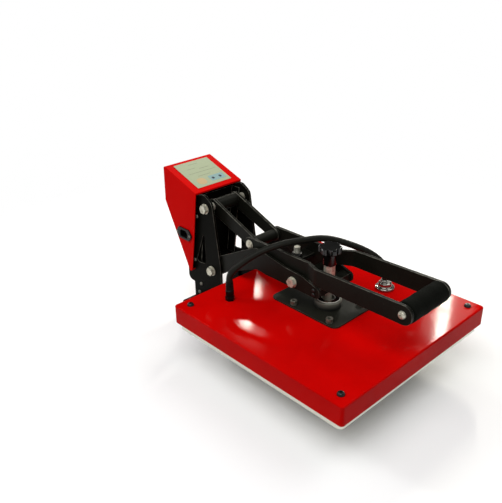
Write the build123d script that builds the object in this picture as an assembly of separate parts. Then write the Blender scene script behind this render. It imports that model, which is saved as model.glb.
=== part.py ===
from build123d import *
import os
from math import atan2, cos, degrees, hypot, pi, radians, sin, tan

# A clamshell heat press for flat goods, closed.
# Working frame: x = 0, y = 0 is the pressure spindle, -Y is the operator's side, z = 0 is the bench.
# Every solid is moved back by centre_shift when it is written, so that the press stands centred on its origin.

# Heights from the bench up, millimetres
foot_height = 12.0
rail_height = 30.0
support_height = 16.7
lower_platen_thickness = 10.0
pad_thickness = 8.0
closed_gap = 0.3
heater_thickness = 16.0
heater_shows = 14.0
heater_rib = 4.0
cover_skirt = 36.0
rail_top = foot_height + rail_height
lower_platen_bottom = rail_top + support_height
lower_platen_top = lower_platen_bottom + lower_platen_thickness
pad_top = lower_platen_top + pad_thickness
heater_bottom = pad_top + closed_gap
heater_top = heater_bottom + heater_thickness
cover_bottom = heater_bottom + heater_shows
cover_top = cover_bottom + cover_skirt

# Platens
cover_size = 400.0
cover_sheet = 1.5
cover_corner_radius = 6.0
cover_edge_radius = 3.0
heater_edge_gap = 6.0
heater_size = cover_size - 2 * heater_edge_gap
lower_platen_edge_gap = 28.0
lower_platen_size = cover_size - 2 * lower_platen_edge_gap
pad_inset = 1.0
insulation_thickness = 12.0
insulation_edge_gap = 19.0
insulation_size = heater_size - 2 * insulation_edge_gap
element_width = 8.0
element_edge_gap = 44.0
element_reach = heater_size / 2 - element_edge_gap
element_turn_radius = element_reach / 7.5
element_tail = 60.0
corner_screw_inset = 22.0
post_width = 13.0
corner_screw_diameter = 5.0
mount_screw_diameter = 8.0
mount_plate_width = 108.0
mount_plate_front = -62.0
mount_plate_back = 95.0
mount_plate_thickness = 3.0
mount_screw_x = 44.0
mount_screw_front = -41.0
mount_screw_back = 44.0

# Spindle and its boss
boss_diameter = 50.0
boss_height = 14.0
boss_recess = 8.0
boss_recess_diameter = 36.0
boss_ring_width = 7.0
boss_ring_thickness = 1.6
spindle_diameter = 12.0
spindle_foot_diameter = 30.0
spindle_foot_height = 5.0
thread_clearance = 0.05
knob_diameter = 42.0
knob_head_height = 12.0
knob_hub_diameter = 24.0
knob_bottom = 86.0
knob_top = 121.0
knob_lobes = 6
knob_hollow_radius = 8.0
lock_nut_flats = 18.0
lock_nut_top = 84.0

# Linkage pivots, seen from the side (y, z above the cover)
arm_pivot = (267.8, cover_top - 9.0)
link_pivot = (279.8, cover_top + 125.0)
handle_pivot = (45.0, cover_top + 50.0)
toggle_share = 0.485
toggle_drop = 7.5
toggle_eye = 12.5

# Plates of the linkage: distance of each inner face from the middle, and thickness
side_gap = 0.3
link_inner = 26.0
link_thickness = 6.0
link_outer = link_inner + link_thickness
handle_gap = 1.0
handle_inner = link_outer + handle_gap
handle_thickness = 6.0
handle_outer = handle_inner + handle_thickness
toggle_head_room = 3.5
arm_inner = handle_outer + toggle_head_room
arm_thickness = 4.5
arm_outer = arm_inner + arm_thickness
column_inner = arm_outer + side_gap
column_thickness = 5.0
column_outer = column_inner + column_thickness
bar_spread = 16.0
bar_jog_back = 17.0
bar_jog_front = -14.0

# Pivot bolts
pivot_diameter = 10.0
running_clearance = 0.06
toggle_bolt_diameter = 8.0

# Handle grip
grip_y = -190.0
grip_z = cover_top + 88.0
grip_diameter = 38.0
grip_tube_diameter = 22.0
grip_tube_wall = 2.0
grip_plug = 20.0

# Base
rail_width = 40.0
rail_wall = 2.5
rail_front = -128.0
rail_back = 322.0
foot_diameter = 30.0
cross_member_depth = 40.0

# Control box
box_sheet = 1.5
box_spacer = 6.7
box_inner = column_outer + box_spacer
box_outer = box_inner + box_sheet
box_back = 403.0

# The spindle's y and the bench height stay fixed; the origin lies under the middle of the whole press
centre_shift = Location((0, -(box_back + grip_y - grip_diameter / 2) / 2, 0))

bar_outer = handle_outer + bar_spread

os.makedirs("parts", exist_ok=True)


def keep(name, *solids):
    """Write one sub-part, moved to the frame whose origin is under the middle of the press."""
    pieces = [centre_shift * piece for solid in solids for piece in solid.solids()]
    shape = pieces[0] if len(pieces) == 1 else Compound(children=pieces)
    export_step(shape, f"parts/{name}.step")


def above(height):
    """Height above the cover's top face, as a height above the bench."""
    return cover_top + height


def side_plate(outline, inner, thickness):
    """A plate on the right side whose outline is drawn in (y, z)."""
    return extrude(Plane.YZ.offset(inner) * outline, amount=thickness)


def outline(points, radii):
    """A closed outline through corners, each rounded by its own radius."""
    return make_face(FilletPolyline(*points, radius=radii, close=True))


def ribbon(line, width):
    """A flat strip of constant width along a line."""
    return make_face(offset(line, amount=width / 2, side=Side.BOTH).wires()[0])


def on_left(solid):
    return mirror(solid, about=Plane.YZ)


def cross_pin(place, x_from, x_to, diameter):
    """A round bar along x through a side-view point (y, z)."""
    plane = Plane(origin=(x_from, place[0], place[1]), x_dir=(0, 1, 0), z_dir=(1, 0, 0))
    return extrude(plane * Circle(diameter / 2), amount=x_to - x_from)


def cross_tube(place, half_length, outer, bore):
    bar = cross_pin(place, -half_length, half_length, outer)
    return bar - cross_pin(place, -half_length - 1, half_length + 1, bore)


def washer(place, x_from, x_to, outer, bore):
    return cross_pin(place, x_from, x_to, outer) - cross_pin(place, x_from - 1, x_to + 1, bore)


def hex_bar(place, x_from, x_to, flats):
    """A hexagonal head or nut along x."""
    plane = Plane(origin=(x_from, place[0], place[1]), x_dir=(0, 1, 0), z_dir=(1, 0, 0))
    return extrude(plane * RegularPolygon(flats / 2, 6, major_radius=False), amount=x_to - x_from)


def upright(x, y, z_from, z_to, diameter):
    return Pos(x, y, z_from) * extrude(Circle(diameter / 2), amount=z_to - z_from)


def block(x_from, x_to, y_from, y_to, z_from, z_to):
    size = (x_to - x_from, y_to - y_from, z_to - z_from)
    middle = ((x_from + x_to) / 2, (y_from + y_to) / 2, (z_from + z_to) / 2)
    return Pos(*middle) * Box(*size)


def cap_screw(x, y, seat, length, diameter=8.0):
    """A socket-head cap screw that stands on its seat."""
    head_height = diameter
    head = upright(x, y, seat, seat + head_height, diameter * 1.6)
    socket = Pos(x, y, seat + head_height * 0.45) * extrude(
        RegularPolygon(diameter * 0.37, 6, major_radius=False), amount=head_height
    )
    return head - socket + upright(x, y, seat - length, seat, diameter)


def toggle_point():
    """The pin between link and handle lies just under the line of the two outer pivots."""
    dy = handle_pivot[0] - link_pivot[0]
    dz = handle_pivot[1] - link_pivot[1]
    along = (link_pivot[0] + toggle_share * dy, link_pivot[1] + toggle_share * dz)
    return (along[0], along[1] - toggle_drop)


toggle = toggle_point()


# Base
def make_base():
    for name, side in (("base_rail_left", -1), ("base_rail_right", 1)):
        inner = column_outer + side_gap
        tube = block(inner, inner + rail_width, rail_front, rail_back, foot_height, rail_top)
        tube = fillet(tube.edges().filter_by(Axis.Y), 3)
        hollow = block(
            inner + rail_wall, inner + rail_width - rail_wall,
            rail_front + rail_wall, rail_back - rail_wall,
            foot_height + rail_wall, rail_top - rail_wall,
        )
        rail = tube - hollow
        keep(name, rail if side > 0 else on_left(rail))
    half = column_outer + side_gap
    front = block(-half, half, rail_front, rail_front + cross_member_depth, foot_height, rail_top)
    middle = block(-half, half, 80, 80 + cross_member_depth, foot_height, rail_top)
    members = []
    for bar in (front, middle):
        box = bar.bounding_box()
        hollow = block(
            -half, half, box.min.Y + rail_wall, box.max.Y - rail_wall, foot_height + rail_wall,
            rail_top - rail_wall,
        )
        members.append(bar - hollow)
    keep("base_cross_members", *members)


def foot_places():
    x = column_outer + side_gap + rail_width / 2
    return [(side * x, y) for side in (-1, 1) for y in (rail_front + 20, rail_back - 20)]


def make_feet():
    feet = []
    for x, y in foot_places():
        feet.append(upright(x, y, 0, foot_height, foot_diameter))
    keep("rubber_feet", *feet)


# Lower platen with its supports and pad
support_spread = 110.0
support_depth = 40.0
support_length = 280.0
support_wall = 3.0


def make_lower_platen():
    half = lower_platen_size / 2
    platen = block(-half, half, -half, half, lower_platen_bottom, lower_platen_top)
    platen = fillet(platen.edges().filter_by(Axis.Z), 8)
    web_bottom = lower_platen_bottom - support_wall
    supports = []
    for y in (-support_spread + 22, support_spread):
        bar = block(-support_length / 2, support_length / 2, y - support_depth / 2, y + support_depth / 2,
                    rail_top, lower_platen_bottom)
        channel = block(-support_length / 2 - 1, support_length / 2 + 1, y - support_depth / 2 + support_wall,
                        y + support_depth / 2 - support_wall, rail_top - 1, web_bottom)
        supports.append(bar - channel)
    keep("platen_supports", *supports)
    keep("lower_platen", platen)
    pad_half = half - pad_inset
    pad = block(-pad_half, pad_half, -pad_half, pad_half, lower_platen_top, pad_top)
    keep("silicone_pad", fillet(pad.edges().filter_by(Axis.Z), 7))


# Column
column_front_low = 239.8
column_back = 347.8
column_foot_back = 328.8
column_slot_front = 286.8
column_top_back = 316.8
column_bolt_ys = (256.0, 304.0)
bracket_thickness = 4.7


def column_outline():
    points = [
        (column_front_low, foot_height + 2), (column_front_low, above(8)), (259.8, above(140)),
        (283.8, above(155)), (303.8, above(147)), (column_top_back, above(144)), (324.8, above(22)),
        (column_back, above(-18)), (column_back, above(-56)), (column_foot_back, above(-56)),
        (column_foot_back, foot_height + 2),
    ]
    return outline(points, [4, 60, 14, 18, 8, 5, 20, 16, 12, 3, 4])


def column_slot():
    points = [(column_slot_front, above(76)), (column_slot_front, above(0)), (317.8, above(-4))]
    return outline(points, [3, 7, 7])


def make_column():
    plate = side_plate(column_outline() - column_slot(), column_inner, column_thickness)
    for place in (link_pivot, arm_pivot):
        plate -= cross_pin(place, column_inner - 1, column_outer + 1, pivot_diameter)
    for y in column_bolt_ys:
        plate -= cross_pin((y, rail_top - rail_height / 2), column_inner - 1, column_outer + 1, 8)
    keep("column_plate_right", plate)
    keep("column_plate_left", on_left(plate))


# Brackets inside the column plates, above the rails
def make_column_brackets():
    points = [(294, foot_height + 4), (294, above(-42)), (326, above(-42)), (326, foot_height + 4)]
    inner = column_inner - bracket_thickness
    bracket = side_plate(outline(points, [3, 6, 6, 3]), inner, bracket_thickness)
    bracket -= cross_pin((column_bolt_ys[1], rail_top - rail_height / 2), inner - 1, column_inner + 1, 8)
    keep("column_brackets", bracket, on_left(bracket))


def make_column_bolts():
    bolts = []
    height = rail_top - rail_height / 2
    for y in column_bolt_ys:
        seat = column_inner - (bracket_thickness if y == column_bolt_ys[1] else 0)
        head = hex_bar((y, height), seat, seat - 5.3, 13)
        shank = cross_pin((y, height), seat, column_outer + side_gap, 8)
        bolt = head + shank
        bolts += [bolt, on_left(bolt)]
    keep("column_bolts", *bolts)


# Folded back panel between the column plates, behind the linkage
panel_sheet = 2.0
panel_flange = 24.0
panel_line = ((311.3, above(142)), (324.8, above(44)), (333.1, above(-14)))


def make_back_panel():
    back = list(panel_line)
    front = [(y - panel_flange, z) for y, z in reversed(panel_line)]
    half = column_inner
    folded = extrude(Plane.YZ.offset(-half) * make_face(Polyline(*back, *front, close=True)), amount=2 * half)
    inner_back = [(y - panel_sheet, z) for y, z in panel_line]
    inner_back[0] = (inner_back[0][0], inner_back[0][1] + 1)
    inner_back[-1] = (inner_back[-1][0], inner_back[-1][1] - 1)
    inner_front = [(y - panel_flange - 2, z) for y, z in reversed(inner_back)]
    inner_half = half - panel_sheet
    hollow = extrude(
        Plane.YZ.offset(-inner_half) * make_face(Polyline(*inner_back, *inner_front, close=True)),
        amount=2 * inner_half,
    )
    keep("column_back_panel", folded - hollow)


def round_head_screw(place, seat, tip, head, shank):
    """A round-head screw along x, its head outward on the right side."""
    height = head * 0.34
    plane = Plane(origin=(seat + height / 2, place[0], place[1]), x_dir=(0, 1, 0), z_dir=(1, 0, 0))
    return plane * Cone(head / 2, head * 0.3, height) + cross_pin(place, tip, seat, shank)


# Control box
box_points = [
    (298.0, above(154)), (box_back - 2, above(189)), (box_back, above(113)),
    (331.0, above(-31)), (324.0, above(-25)), (312.0, above(49)),
]
box_radii = [1.5, 4, 3, 4, 2, 10]
top_slope = atan2(box_points[1][1] - box_points[0][1], box_points[1][0] - box_points[0][0])
inlet_place = (342.5, above(54.3))
inlet_flange = 3.2


def make_control_box():
    outer = extrude(Plane.YZ.offset(-box_outer) * outline(box_points, box_radii), amount=2 * box_outer)
    inner_face = offset(outline(box_points, box_radii), -box_sheet, kind=Kind.INTERSECTION)
    inner = extrude(Plane.YZ.offset(-box_inner) * inner_face, amount=2 * box_inner)
    mouth_points = [
        (290, above(146)), (298 + 2 * box_sheet, above(152)), (312 + 2 * box_sheet, above(49)),
        (324 + 2 * box_sheet, above(-22)), (310, above(-22)),
    ]
    mouth = extrude(Plane.YZ.offset(-box_inner) * make_face(Polyline(*mouth_points, close=True)),
                    amount=2 * box_inner)
    shell = outer - inner - mouth
    notch = block(column_inner - side_gap, column_outer + side_gap, 300, column_back + side_gap, above(-60), above(20))
    shell -= notch
    shell -= on_left(notch)
    shell -= inlet_body(0.4)
    keep("control_box", shell)


def make_box_spacers():
    """Bars between the column plates and the box's side walls, a little behind the box's front edge."""
    upper = block(column_outer, box_inner, 306, 315, above(112), above(140))
    lower = block(column_outer, box_inner, 314.5, 321, above(56), above(92))
    keep("box_spacers", upper, lower, on_left(upper), on_left(lower))


def inlet_body(clearance):
    """The socket's moulded body behind its flange, on the left wall."""
    y, z = inlet_place
    return block(-box_outer, -box_outer + 26, y - 13.5 - clearance, y + 13.5 + clearance,
                 z - 10 - clearance, z + 10 + clearance)


def make_inlet():
    y, z = inlet_place
    flange_points = [
        (y - 26, z), (y - 16, z - 12.5), (y + 16, z - 12.5), (y + 26, z), (y + 16, z + 12.5), (y - 16, z + 12.5),
    ]
    face = outline(flange_points, [5, 4, 4, 5, 4, 4])
    flange = extrude(Plane.YZ.offset(-box_outer - inlet_flange) * face, amount=inlet_flange)
    socket = flange + inlet_body(0)
    well_points = [(y - 11.5, z - 8), (y + 11.5, z - 8), (y + 11.5, z + 4), (y + 7.5, z + 8), (y - 7.5, z + 8),
                   (y - 11.5, z + 4)]
    socket -= extrude(Plane.YZ.offset(-box_outer - 4) * make_face(Polyline(*well_points, close=True)), amount=22)
    for pin_y, pin_z in ((y - 7, z - 2), (y, z + 2), (y + 7, z - 2)):
        socket += block(-box_outer + 5.5, -box_outer + 19, pin_y - 1, pin_y + 1, pin_z - 2.2, pin_z + 2.2)
    keep("inlet_socket", socket)


# Membrane panel on the sloping top, with its edge a little inside the sheet's edge
panel_width = 88.0
panel_length = 84.0


def make_control_panel():
    middle_y = (box_points[0][0] + box_points[1][0]) / 2
    middle_z = (box_points[0][1] + box_points[1][1]) / 2
    plane = Plane(
        origin=(0, middle_y, middle_z), x_dir=(1, 0, 0), z_dir=(0, -sin(top_slope), cos(top_slope)),
    )
    panel = extrude(plane * RectangleRounded(panel_width, panel_length, 2), amount=0.8)
    keep("control_panel", panel)


def make_box_contents():
    """The controller board stands on four posts off the box's back wall."""
    face = 386.0
    sheet = 1.6
    board = block(-42, 42, face, face + sheet, above(116), above(172))
    for z in (above(121), above(167)):
        for x in (-37, 37):
            board += block(x - 2.5, x + 2.5, face + sheet, 399.9, z - 2.5, z + 2.5)
    board += block(0, 34, face - 24, face, above(130), above(160))
    board += block(-30, -8, face - 15, face, above(142), above(165))
    board += block(-36, -2, face - 12, face, above(119), above(131))
    keep("controller_board", board)


# Pivot bolts through the column
def make_column_pivots():
    for name, place in (("link_pivot_bolt", link_pivot), ("arm_pivot_bolt", arm_pivot)):
        head = hex_bar(place, -column_outer - 1.6, -column_outer - 8, 16)
        face = washer(place, -column_outer - 1.6, -column_outer, 21, pivot_diameter)
        shank = cross_pin(place, -column_outer - 1.6, column_outer + 11, pivot_diameter)
        nut = hex_bar(place, column_outer + 1.6, column_outer + 9.6, 16)
        nut_face = washer(place, column_outer, column_outer + 1.6, 21, pivot_diameter)
        keep(name, head + face + shank + nut + nut_face)
    spacer = washer(link_pivot, link_outer + side_gap, column_inner, 17, pivot_diameter)
    keep("pivot_spacers", spacer, on_left(spacer))


# Lower arm
arm_nose = -18.0
arm_bottom = above(38)
arm_top = above(69.5)


def arm_outline():
    points = [
        (arm_nose, above(56)), (24, arm_top), (64, above(72)), (140, above(86)), (274.5, above(16)),
        (287.5, above(-12)), (269.5, above(-29)), (234.5, above(-2)), (140, above(41)), (115, arm_bottom),
        (arm_nose, arm_bottom),
    ]
    return outline(points, [8, 20, 60, 38, 17, 14, 14, 30, 34, 34, 8])


def make_arm():
    plate = side_plate(arm_outline(), arm_inner, arm_thickness)
    plate -= cross_pin(arm_pivot, arm_inner - 1, arm_outer + 1, pivot_diameter + 2 * running_clearance)
    plate -= cross_pin(handle_pivot, arm_inner - 1, arm_outer + 1, pivot_diameter)
    keep("arm_plate_right", plate)
    keep("arm_plate_left", on_left(plate))
    tube = cross_tube(arm_pivot, arm_inner, 30, pivot_diameter + 2 * running_clearance)
    keep("arm_pivot_tube", tube)


nose_front = -14.0
nose_wide_back = 5.0
nose_back = 17.0
nose_narrow = handle_inner - 1.0
nose_bottom = above(40)
nose_top = above(56)


def make_nose():
    """The block is narrower behind the spindle, where the handle bars come down beside it."""
    nose = block(-arm_inner, arm_inner, nose_front, nose_wide_back, nose_bottom, nose_top)
    nose += block(-nose_narrow, nose_narrow, nose_wide_back, nose_back, nose_bottom, nose_top)
    bush_bore = 20
    nose -= upright(0, 0, nose_bottom - 1, nose_top + 1, bush_bore)
    keep("nose_block", nose)
    bore = spindle_diameter + 2 * thread_clearance
    bush = upright(0, 0, nose_bottom - 3, nose_top, bush_bore)
    bush += upright(0, 0, nose_bottom - 3, nose_bottom, 27)
    bush -= upright(0, 0, nose_bottom - 4, nose_top + 1, bore)
    keep("threaded_bush", bush)
    nut = Pos(0, 0, nose_top) * extrude(
        RegularPolygon(lock_nut_flats / 2, 6, major_radius=False), amount=above(lock_nut_top) - nose_top)
    nut -= upright(0, 0, nose_top - 1, above(lock_nut_top) + 1, bore)
    keep("lock_nut", nut)


def make_handle_pivot():
    head = hex_bar(handle_pivot, -arm_outer - 1.2, -arm_outer - 7, 16)
    face = washer(handle_pivot, -arm_outer - 1.2, -arm_outer, 20, pivot_diameter)
    shank = cross_pin(handle_pivot, -arm_outer - 1.2, arm_outer + 9, pivot_diameter)
    nut = hex_bar(handle_pivot, arm_outer + 1.2, arm_outer + 8, 16)
    nut_face = washer(handle_pivot, arm_outer, arm_outer + 1.2, 20, pivot_diameter)
    keep("handle_pivot_bolt", head + face + shank + nut + nut_face)
    ring = washer(handle_pivot, handle_outer + side_gap, arm_inner, 18, pivot_diameter)
    keep("handle_pivot_spacers", ring, on_left(ring))


# Handle
def handle_outline():
    y, z = toggle
    points = [
        (y + toggle_eye, z + 14), (20, above(95.5)), (bar_jog_front - 10, above(100)), (grip_y - 17, above(105)),
        (grip_y - 17, above(71)), (16, above(67.5)), (handle_pivot[0] - 15, handle_pivot[1] - 17),
        (handle_pivot[0] + 17, handle_pivot[1] - 17), (y - 14, z - toggle_eye),
        (y + toggle_eye, z - toggle_eye),
    ]
    return outline(points, [12, 80, 60, 16, 16, 10, 13, 15, 16, 12])


def jogged_strip():
    """The right bar from above: straight at the back, then jogged outward to the grip."""
    back = 260
    front = grip_y - 60
    middle = handle_inner + handle_thickness / 2
    line = FilletPolyline(
        (middle, back), (middle, bar_jog_back), (middle + bar_spread, bar_jog_front),
        (middle + bar_spread, front), radius=[22, 22],
    )
    return ribbon(line, handle_thickness)


def make_handle_bars():
    low = above(0)
    tall = above(160)
    strip = extrude(Plane.XY.offset(low) * jogged_strip(), amount=tall - low)
    flat = extrude(Plane.YZ.offset(0) * handle_outline(), amount=column_outer + 20)
    bar = flat & strip
    bar -= cross_pin(handle_pivot, 0, column_outer, pivot_diameter + 2 * running_clearance)
    bar -= cross_pin(toggle, 0, column_outer, toggle_bolt_diameter)
    bar -= cross_pin((grip_y, grip_z), 0, column_outer + 10, 8)
    keep("handle_bar_right", bar)
    keep("handle_bar_left", on_left(bar))


def make_grip():
    half = bar_outer - handle_thickness
    tube = cross_pin((grip_y, grip_z), -half, half, grip_tube_diameter)
    bore = grip_tube_diameter - 2 * grip_tube_wall
    tube -= cross_pin((grip_y, grip_z), -half + grip_plug, half - grip_plug, bore)
    tube -= cross_pin((grip_y, grip_z), -half - 1, half + 1, 8)
    keep("grip_tube", tube)
    foam = cross_tube((grip_y, grip_z), half - 1, grip_diameter, grip_tube_diameter)
    rims = foam.edges().filter_by(GeomType.CIRCLE).filter_by(lambda edge: edge.radius > grip_tube_diameter / 2 + 1)
    keep("foam_grip", chamfer(rims, 2))
    screw = round_head_screw((grip_y, grip_z), bar_outer, half - grip_plug + 2, 14, 8)
    keep("grip_bolts", screw, on_left(screw))


bridge_bottom = above(68)
bridge_thickness = 6.0
stud_y = 79.0


def make_bridge():
    bridge = block(-handle_inner, handle_inner, stud_y - 14, stud_y + 14, bridge_bottom,
                   bridge_bottom + bridge_thickness)
    bridge -= upright(0, stud_y, bridge_bottom - 1, bridge_bottom + bridge_thickness + 1, 12)
    keep("handle_bridge", bridge)
    stud = upright(0, stud_y, bridge_bottom - 10, above(93), 12)
    nuts = []
    for bottom in (bridge_bottom - 7, bridge_bottom + bridge_thickness):
        nut = Pos(0, stud_y, bottom) * extrude(RegularPolygon(9, 6, major_radius=False), amount=7)
        nuts.append(nut - upright(0, stud_y, bottom - 1, bottom + 8, 12))
    keep("stop_stud", stud, *nuts)


def make_handle_pivot_tube():
    keep("handle_pivot_tube", cross_tube(handle_pivot, handle_inner, 20, pivot_diameter + 2 * running_clearance))


def make_toggle_pins():
    """A shouldered pin each side: its low head outside the bar, its end flush inside it."""
    head = hex_bar(toggle, handle_outer, arm_inner - side_gap, 13)
    whole = head + cross_pin(toggle, handle_inner, handle_outer, toggle_bolt_diameter)
    keep("toggle_bolts", whole, on_left(whole))


# Link
def make_link():
    y1, z1 = link_pivot
    y2, z2 = toggle
    big = Pos(y1, z1) * Circle(15)
    small = Pos(y2, z2) * Circle(toggle_eye)
    shape = make_hull(big.edges() + small.edges())
    plate = side_plate(shape, link_inner, link_thickness)
    plate -= cross_pin(link_pivot, link_inner - 1, link_outer + 1, pivot_diameter + 2 * running_clearance)
    plate -= cross_pin(toggle, link_inner - 1, link_outer + 1, toggle_bolt_diameter)
    keep("link_plate_right", plate)
    keep("link_plate_left", on_left(plate))
    keep("link_pivot_tube", cross_tube(link_pivot, link_inner, 28, pivot_diameter + 2 * running_clearance))
    bar = cross_pin(toggle, -link_inner, link_inner, 22)
    ends = cross_pin(toggle, -link_outer, link_outer, toggle_bolt_diameter)
    keep("toggle_tube", bar + ends)


# Upper platen
def make_heater():
    """The element is cast in as a rib that stands on the plate's back."""
    half = heater_size / 2
    plate_top = heater_top - heater_rib
    plate = block(-half, half, -half, half, heater_bottom, plate_top)
    plate = fillet(plate.edges().filter_by(Axis.Z), 10)
    keep("heating_plate", plate)
    rib = extrude(Plane.XY.offset(plate_top) * heater_path(), amount=heater_rib)
    keep("heating_element", rib)


def heater_path():
    """The element's meander: five runs from side to side, each at its share of the reach."""
    reach = element_reach
    front, second, middle, fourth, back = [share * reach for share in (-1.02, -0.7, 0, 73 / 150, 0.98)]
    points = [(reach - element_tail, front), (-reach, front), (-reach, second), (reach, second), (reach, middle)]
    points += [(-reach, middle), (-reach, fourth), (reach, fourth), (reach, back), (element_tail - reach, back)]
    line = FilletPolyline(*points, radius=element_turn_radius)
    return ribbon(line, element_width)


def corner_places():
    reach = cover_size / 2 - corner_screw_inset
    return [(x, y) for x in (-reach, reach) for y in (-reach, reach)]


def mount_screw_places():
    return [(x, y) for x in (-mount_screw_x, mount_screw_x) for y in (mount_screw_front, mount_screw_back)]


sensor_place = (72.0, 20.0)


def make_platen_inside():
    half = insulation_size / 2
    under_cover = cover_top - cover_sheet
    blanket = block(-half, half, -half, half, heater_top, heater_top + insulation_thickness)
    posts = []
    for x, y in corner_places() + mount_screw_places():
        screw_bore = corner_screw_diameter if abs(x) > mount_screw_x else mount_screw_diameter
        half_post = post_width / 2
        post = block(x - half_post, x + half_post, y - half_post, y + half_post, heater_top - heater_rib, under_cover)
        posts.append(post - upright(x, y, under_cover - 12, under_cover + 1, screw_bore))
        blanket -= block(x - 10, x + 10, y - 10, y + 10, heater_top - 1, under_cover)
    x, y = sensor_place
    blanket -= block(x - 14, x + 14, y - 10, y + 10, heater_top - 1, under_cover)
    keep("insulation_blanket", blanket)
    keep("cover_posts", *posts)
    sensor = block(x - 12, x + 12, y - 8, y + 8, heater_top - heater_rib, heater_top + 2)
    keep("temperature_sensor", sensor)


def make_cover():
    half = cover_size / 2
    cover = block(-half, half, -half, half, cover_bottom, cover_top)
    cover = fillet(cover.edges().filter_by(Axis.Z), cover_corner_radius)
    cover = fillet(cover.edges().group_by(Axis.Z)[-1], cover_edge_radius)
    inner_half = half - cover_sheet
    hollow = block(-inner_half, inner_half, -inner_half, inner_half, cover_bottom - 1, cover_top - cover_sheet)
    hollow = fillet(hollow.edges().filter_by(Axis.Z), cover_corner_radius - cover_sheet)
    cover -= hollow
    for x, y in corner_places():
        cover -= upright(x, y, cover_top - 5, cover_top + 1, corner_screw_diameter)
    for x, y in mount_screw_places():
        cover -= upright(x, y, cover_top - 5, cover_top + 1, mount_screw_diameter)
    cover -= upright(gland_place[0], gland_place[1], cover_top - 5, cover_top + 1, gland_thread)
    cover -= upright(fitting_place[0], fitting_place[1], cover_top - 5, cover_top + 1, gland_thread)
    keep("cover", cover)
    screws = []
    for x, y in corner_places():
        head = upright(x, y, cover_top, cover_top + 4.8, 12.5)
        screws.append(head + upright(x, y, cover_top - cover_sheet - 10, cover_top, corner_screw_diameter))
    keep("cover_screws", *screws)


def make_mount():
    plate = block(-mount_plate_width / 2, mount_plate_width / 2, mount_plate_front, mount_plate_back,
                  cover_top, cover_top + mount_plate_thickness)
    plate = fillet(plate.edges().filter_by(Axis.Z), 13)
    screws = []
    seat = cover_top + mount_plate_thickness
    for x, y in mount_screw_places():
        plate -= upright(x, y, cover_top - 1, seat + 1, mount_screw_diameter)
        screws.append(cap_screw(x, y, seat, mount_plate_thickness + cover_sheet + 10, mount_screw_diameter))
    keep("mounting_plate", plate)
    keep("mounting_screws", *screws)


def make_boss():
    base = cover_top + mount_plate_thickness
    top = base + boss_height
    boss = upright(0, 0, base, top, boss_diameter)
    boss = chamfer(boss.edges().filter_by(GeomType.CIRCLE).sort_by(Axis.Z)[-1], 1)
    boss -= upright(0, 0, top - boss_recess, top + 1, boss_recess_diameter)
    keep("swivel_boss", boss)
    ring = upright(0, 0, top, top + boss_ring_thickness, boss_recess_diameter + boss_ring_width)
    ring -= upright(0, 0, top - 1, top + boss_ring_thickness + 1, spindle_foot_diameter - 6)
    keep("boss_ring", ring)


def make_spindle():
    foot_bottom = cover_top + mount_plate_thickness + boss_height - boss_recess + side_gap
    foot = upright(0, 0, foot_bottom, foot_bottom + spindle_foot_height, spindle_foot_diameter)
    stem = upright(0, 0, foot_bottom, above(knob_top) - 6, spindle_diameter)
    keep("spindle", foot + stem)


def make_knob():
    """A lobed head on a round hub."""
    low = above(knob_bottom)
    high = above(knob_top)
    head_bottom = high - knob_head_height
    head = upright(0, 0, head_bottom, high, knob_diameter)
    head = chamfer(head.edges().filter_by(GeomType.CIRCLE), 2)
    for step in range(knob_lobes):
        turn = 2 * pi * (step + 0.5) / knob_lobes
        reach = knob_diameter / 2 + knob_hollow_radius / 2
        head -= upright(reach * cos(turn), reach * sin(turn), head_bottom - 1, high + 1, 2 * knob_hollow_radius)
    knob = head + upright(0, 0, low, head_bottom, knob_hub_diameter)
    knob -= upright(0, 0, low - 1, high - 6, spindle_diameter)
    keep("pressure_knob", knob)


# Heater conduit: from the gland at the back left, over the linkage, to the fitting at the front right
gland_place = (-113.0, 142.0)
fitting_place = (127.0, -33.0)
gland_thread = 12.0
gland_height = 38.0
fitting_height = 20.0
hose_diameter = 12.5
hose_points = [
    (*gland_place, gland_height), (*gland_place, 55), (-108.5, 138, 67), (-99, 130.5, 76.5), (-83, 120, 87.5),
    (-59, 104, 100.7), (-26.4, 83.1, 107.6), (7.5, 68, 107), (35, 58, 105.6), (58, 42.5, 101),
    (79, 20, 91.6), (98.5, -4.5, 79.8), (113.5, -21.5, 65), (122.7, -30, 50), (*fitting_place, 36),
    (*fitting_place, fitting_height),
]


def hose_radii(points):
    """Each corner's arc: 0.45 of the shorter run over the tangent of half the turn."""
    vectors = [Vector(*point) for point in points]
    radii = []
    for before, corner, after in zip(vectors, vectors[1:], vectors[2:]):
        run_in = corner - before
        run_out = after - corner
        turn = run_in.get_angle(run_out)
        radii.append(0.45 * min(run_in.length, run_out.length) / tan(radians(turn / 2)))
    return radii


def make_hose():
    points = [(x, y, above(z)) for x, y, z in hose_points]
    radii = hose_radii(points)
    print("hose radii", [round(radius, 1) for radius in radii])
    path = FilletPolyline(*points, radius=radii)
    section = Plane(origin=path @ 0, z_dir=path % 0) * Circle(hose_diameter / 2)
    hose = sweep(section, path=path)
    print("hose length", round(path.length, 1), "volume ratio",
          round(hose.volume / (pi * hose_diameter ** 2 / 4 * path.length), 4))
    keep("heater_conduit", hose)


def make_fittings():
    x, y = gland_place
    thread = upright(x, y, cover_top - 5, cover_top, gland_thread)
    collar = Pos(x, y, cover_top) * extrude(RegularPolygon(8, 6, major_radius=False), amount=9)
    dome = Pos(x, y, cover_top + 9) * Cone(7.8, 7.0, gland_height - 9, align=(Align.CENTER, Align.CENTER, Align.MIN))
    keep("cable_gland", thread + collar + dome)
    x, y = fitting_place
    thread = upright(x, y, cover_top - 5, cover_top, gland_thread)
    flange = upright(x, y, cover_top, cover_top + 5, 32)
    neck = upright(x, y, cover_top + 5, cover_top + 13, 23)
    cup = upright(x, y, cover_top + 13, cover_top + fitting_height, 17)
    keep("conduit_fitting", thread + flange + neck + cup)


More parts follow.
